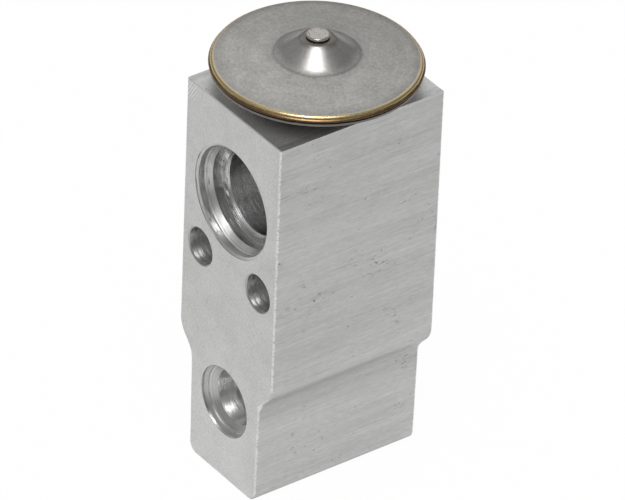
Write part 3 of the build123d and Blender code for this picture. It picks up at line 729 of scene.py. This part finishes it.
def make_spring_half(name, first_turn, last_turn):
    """Carry the wire's circle along a coil: centre = (R cos a, R sin a, h), a = 2 pi turns.

    The height is h = low + (high - low) (s - k sin(2 pi s) / (2 pi)) with s = turn / turns and
    k = SLOW_ENDS, so the coil climbs slowly at both ends. Heights past the two seats are
    clipped, which grinds the ends flat."""
    turn = np.linspace(first_turn, last_turn, HALF_STEPS)
    share = turn / COIL_TURNS
    low, high = SPRING_LOW_Z + END_INSET, SPRING_HIGH_Z - END_INSET
    slow = SLOW_ENDS * np.sin(2 * np.pi * share) / (2 * np.pi)
    height = low + (high - low) * (share - slow)
    angle = 2 * np.pi * turn
    outward = np.column_stack([np.cos(angle), np.sin(angle), 0 * angle])
    centre = COIL_RADIUS * outward + height[:, None] * np.array([0, 0, 1])
    across = np.cross(np.gradient(centre, axis=0), outward)
    across /= np.linalg.norm(across, axis=1)[:, None]
    around = np.linspace(0, 2 * np.pi, WIRE_AROUND, endpoint=False)[None, :, None]
    circle = np.cos(around) * outward[:, None] + np.sin(around) * across[:, None]
    rings = centre[:, None] + WIRE_RADIUS * circle
    caps = [np.repeat(end[None, None], WIRE_AROUND, axis=1) for end in (centre[0], centre[-1])]
    points = np.concatenate([caps[0], rings, caps[1]])
    points[..., 2] = np.clip(points[..., 2], SPRING_LOW_Z, SPRING_HIGH_Z)
    return grid_object(name, points)


lower_half = ("spring_lower_half", (0, 2), "screw_ring", SPRING_LOW_Z + SEAT_BAND)
upper_half = ("spring_upper_half", (2, 4), "plunger", SPRING_HIGH_Z - SEAT_BAND)
for name, turns, seat_body, seat_z in (lower_half, upper_half):
    half = make_spring_half(name, *turns)
    half.data.materials.append(spring_finish)
    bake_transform(half)
    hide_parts("valve_spring")
    print(half.name, "faces:", len(half.data.polygons))

# %% [markdown]
# The studio is a pale floor under soft light. The photograph's background is pure white, so camera
# rays see the floor and the world as white, while the light on the metal is set apart from it. Bare
# metal shows its surroundings, so no lamps are used: a room with one soft window is painted on the
# world, and most bright lines on the valve are that window mirrored; the rest are painted
# highlights in the block's finish.

# %% Floor and world
FLOOR_HALF, FLOOR_Z = 3.0, -0.00002


def make_floor():
    """A wide square of pale floor that keeps a little of the valve's shadow."""
    low, high = -FLOOR_HALF, FLOOR_HALF
    corners = [(low, low, FLOOR_Z), (high, low, FLOOR_Z), (high, high, FLOOR_Z),
               (low, high, FLOOR_Z)]
    mesh = bpy.data.meshes.new("studio_floor")
    mesh.from_pydata(corners, [], [(0, 1, 2, 3)])
    floor = bpy.data.objects.new("studio_floor", mesh)
    bpy.context.scene.collection.objects.link(floor)
    material = bpy.data.materials.new("floor_paper")
    material.use_nodes = True
    tree = material.node_tree
    tree.nodes.clear()
    diffuse = add_node(tree, "BsdfDiffuse", {"Color": (0.90, 0.90, 0.90, 1)})
    white = add_node(tree, "Emission", {"Color": (1, 1, 1, 1), "Strength": 1.0})
    ray = add_node(tree, "LightPath").outputs
    share = calc(tree, "ADD", calc(tree, "MULTIPLY", ray["Is Camera Ray"], 0.975),
                 calc(tree, "MULTIPLY", ray["Is Glossy Ray"], 0.35))
    mixed = add_node(tree, "MixShader", {0: share, 1: diffuse.outputs[0], 2: white.outputs[0]})
    add_node(tree, "OutputMaterial", {"Surface": mixed.outputs[0]})
    floor.data.materials.append(material)


# Two level directions of the room: away behind the valve, and across to the photograph's right
BEHIND, ACROSS = (-0.796, 0.605, 0.0), (0.605, 0.796, 0.0)
WINDOW_STRENGTH, WINDOW_SHIFT = 9.0, 0.05


def light_world():
    """White to the camera; to everything else a grey room with a pale backdrop behind the valve
    and a soft window, which runs from overhead down towards the camera and is brightest along
    its middle."""
    world = bpy.data.worlds.new("studio")
    bpy.context.scene.world = world
    world.use_nodes = True
    tree = world.node_tree
    tree.nodes.clear()
    direction = add_node(tree, "TexCoord").outputs["Generated"]
    up = add_node(tree, "SeparateXYZ", {0: direction}).outputs[2]

    def reach_along(way):
        """How far the direction goes along a way: their dot product, from -1 to 1."""
        made = add_node(tree, "VectorMath", {0: direction, 1: way}, operation="DOT_PRODUCT")
        return made.outputs["Value"]

    behind, across = reach_along(BEHIND), reach_along(ACROSS)

    # The room brightens upwards and towards the back, and darkens from left to right
    room = calc(tree, "MULTIPLY", fade(tree, up, 0.10, 0.80, 0.24, 0.60),
                fade(tree, behind, 0.35, 0.75, 0.74, 1.0),
                fade(tree, across, -0.9, 0.9, 1.16, 0.80))
    backdrop = calc(tree, "MULTIPLY", fade(tree, behind, 0.50, 0.80, 0, 0.85),
                    fade(tree, up, 0.25, 0.75))

    # The window has soft ends, and falls off to both sides of its middle line
    off_middle = calc(tree, "ABSOLUTE", calc(tree, "ADD", across, WINDOW_SHIFT))
    window = calc(tree, "MULTIPLY", fade(tree, behind, 0.0, -0.18),
                  fade(tree, behind, -0.74, -0.30), fade(tree, off_middle, 0.32, 0.04),
                  fade(tree, up, 0.62, 0.70), WINDOW_STRENGTH)
    level = calc(tree, "ADD", room, backdrop, window)
    grey_room = add_node(tree, "Background", {"Color": (1, 1, 1, 1), "Strength": level})
    white = add_node(tree, "Background", {"Color": (1, 1, 1, 1), "Strength": 1.0})
    seen = add_node(tree, "LightPath").outputs["Is Camera Ray"]
    mixed = add_node(tree, "MixShader", {0: seen, 1: grey_room.outputs[0], 2: white.outputs[0]})
    add_node(tree, "OutputWorld", {"Surface": mixed.outputs[0]})


make_floor()
light_world()
print("stage set")

# %% [markdown]
# The camera was solved from the photograph: the block's straight edges give its direction, and how
# fast they draw together gives its distance. The lens is long, because the photograph was taken
# from well back. The camera is turned a little about its own axis, as the photographer held it.

# %% Camera
AZIMUTH, ELEVATION, ROLL = math.radians(52.76), math.radians(34.73), math.radians(2.37)
TARGET = Vector((0, 0, 0.03595))
DISTANCE = 1.4287
LENS_PIXELS, PHOTO_WIDTH, SENSOR_WIDTH = 8028.9, 625, 36.0
OFF_CENTRE = (-4.522, 30.693)


def make_camera():
    """Look from the azimuth and elevation, roll about that line, and step aside so that the
    target lands where the photograph has it. Lens and step are known in pixels of the photo."""
    level = math.cos(ELEVATION)
    back = Vector((math.sin(AZIMUTH) * level, -math.cos(AZIMUTH) * level, math.sin(ELEVATION)))
    right = Vector((math.cos(AZIMUTH), math.sin(AZIMUTH), 0))
    up = back.cross(right)
    rolled_right = right * math.cos(ROLL) + up * math.sin(ROLL)
    rolled_up = up * math.cos(ROLL) - right * math.sin(ROLL)
    lens = bpy.data.cameras.new("photo_camera")
    lens.sensor_width = SENSOR_WIDTH
    lens.lens = LENS_PIXELS / PHOTO_WIDTH * SENSOR_WIDTH
    lens.clip_end = 50.0
    camera = bpy.data.objects.new("photo_camera", lens)
    bpy.context.scene.collection.objects.link(camera)
    step = DISTANCE / LENS_PIXELS
    aside = rolled_up * OFF_CENTRE[1] * step - rolled_right * OFF_CENTRE[0] * step
    place = TARGET + DISTANCE * back + aside
    axes = Matrix((rolled_right, rolled_up, back)).transposed().to_4x4()
    camera.matrix_world = Matrix.Translation(place) @ axes
    bpy.context.scene.camera = camera
    return camera


camera = make_camera()
bpy.context.scene.view_settings.view_transform = "Standard"
print("camera at mm:", [round(x / MM, 1) for x in camera.location],
      "lens mm:", round(camera.data.lens, 1))
